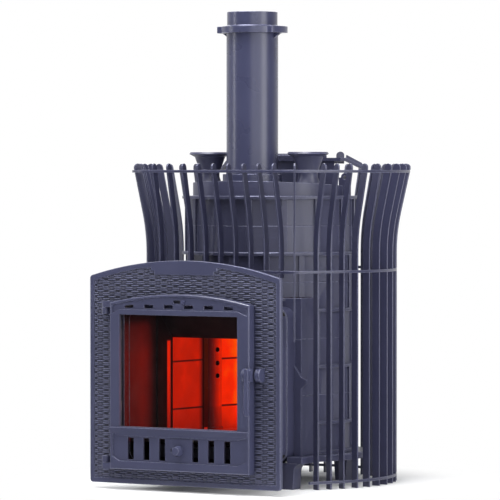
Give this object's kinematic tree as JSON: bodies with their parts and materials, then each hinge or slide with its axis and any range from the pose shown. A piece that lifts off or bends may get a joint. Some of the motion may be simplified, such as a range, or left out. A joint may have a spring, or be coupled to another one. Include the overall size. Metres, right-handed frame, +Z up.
{
  "type": "sauna stove",
  "caption": "Sauna wood stove: ribbed round cast body, long firebox neck with a glazed arched door, steam hood with flaps, water funnels and a flared slatted cage for stones.",
  "frame": {"origin": "middle of the bounding box on the floor", "axes": "+Z up, the door faces -Y, +X is to the right of someone facing the door"},
  "size_m": [0.6716, 0.794, 1.141],
  "materials": {
    "body_paint": "semi-gloss",
    "portal_paint": "semi-gloss",
    "cage_paint": "semi-gloss",
    "soot_iron": "matte",
    "hot_liner": "matte",
    "slide_steel": "satin",
    "handle_steel": "gloss",
    "fastener": "satin",
    "rope_seal": "matte",
    "fire_glass": "polished"
  },
  "bodies": {
    "stove": {"base_plate": "body_paint", "front_feet": "body_paint", "rear_feet": "body_paint", "body_ring_1": "body_paint", "body_ring_2": "body_paint", "body_ring_3": "body_paint", "body_ring_4": "body_paint", "top_cap": "body_paint", "firebox_neck": "body_paint", "portal_bolts": "fastener", "neck_brackets": "body_paint", "throat_frame": "soot_iron", "portal": "portal_paint", "hinge_pins": "fastener", "latch_keeper": "portal_paint", "side_liners": "hot_liner", "air_columns": "hot_liner", "rear_liner": "hot_liner", "hearth": "hot_liner", "grate": "soot_iron", "ash_pan": "slide_steel", "ash_pan_grip": "slide_steel", "firebox_baffle": "hot_liner", "flue_collar": "body_paint", "flue_pipe": "body_paint", "flue_spigot": "body_paint", "funnel_right": "body_paint", "funnel_left": "body_paint", "heater_chamber": "body_paint", "heater_hood": "body_paint", "hood_cover": "body_paint", "flap_pins": "fastener", "cage_front_slats": "cage_paint", "cage_corner_slats": "cage_paint", "cage_chamfer_slats": "cage_paint", "cage_long_slats": "cage_paint", "cage_top_bar": "cage_paint", "cage_waist_bar": "cage_paint", "cage_low_bar": "cage_paint"},
    "door": {"door_frame": "portal_paint", "glass_seal": "rope_seal", "door_glass": "fire_glass", "glass_clips": "fastener", "clip_screws": "fastener", "door_rope": "rope_seal", "air_slide_guides": "slide_steel"},
    "handle": {"handle_lever": "handle_steel", "latch_spindle": "fastener"},
    "air_slide": {"air_slide": "slide_steel", "air_slide_knob": "fastener"},
    "top_slide": {"top_slide": "slide_steel", "top_slide_pin": "fastener"},
    "flap_right": {"flap_right": "body_paint"},
    "flap_left": {"flap_left": "body_paint"}
  },
  "joints": [
    {"name": "door_hinge", "type": "hinge", "parent": "stove", "child": "door", "pos_m": [-0.213, -0.35816, 0.25], "axis": [0, 0, -1], "range_deg": [0, 110]},
    {"name": "handle_turn", "type": "hinge", "parent": "door", "child": "handle", "pos_m": [0.188, -0.38316, 0.282], "axis": [0, -1, 0], "range_deg": [0, 90]},
    {"name": "air_slide_move", "type": "slide", "parent": "door", "child": "air_slide", "axis": [1, 0, 0], "range_m": [-0.018, 0]},
    {"name": "top_slide_move", "type": "slide", "parent": "door", "child": "top_slide", "axis": [1, 0, 0], "range_m": [-0.026, 0]},
    {"name": "flap_right_hinge", "type": "hinge", "parent": "stove", "child": "flap_right", "pos_m": [0.156, 0.12084, 0.795], "axis": [0.515, -0.8572, 0], "range_deg": [0, 100]},
    {"name": "flap_left_hinge", "type": "hinge", "parent": "stove", "child": "flap_left", "pos_m": [-0.156, 0.12084, 0.795], "axis": [0.515, 0.8572, 0], "range_deg": [0, 100]}
  ]
}
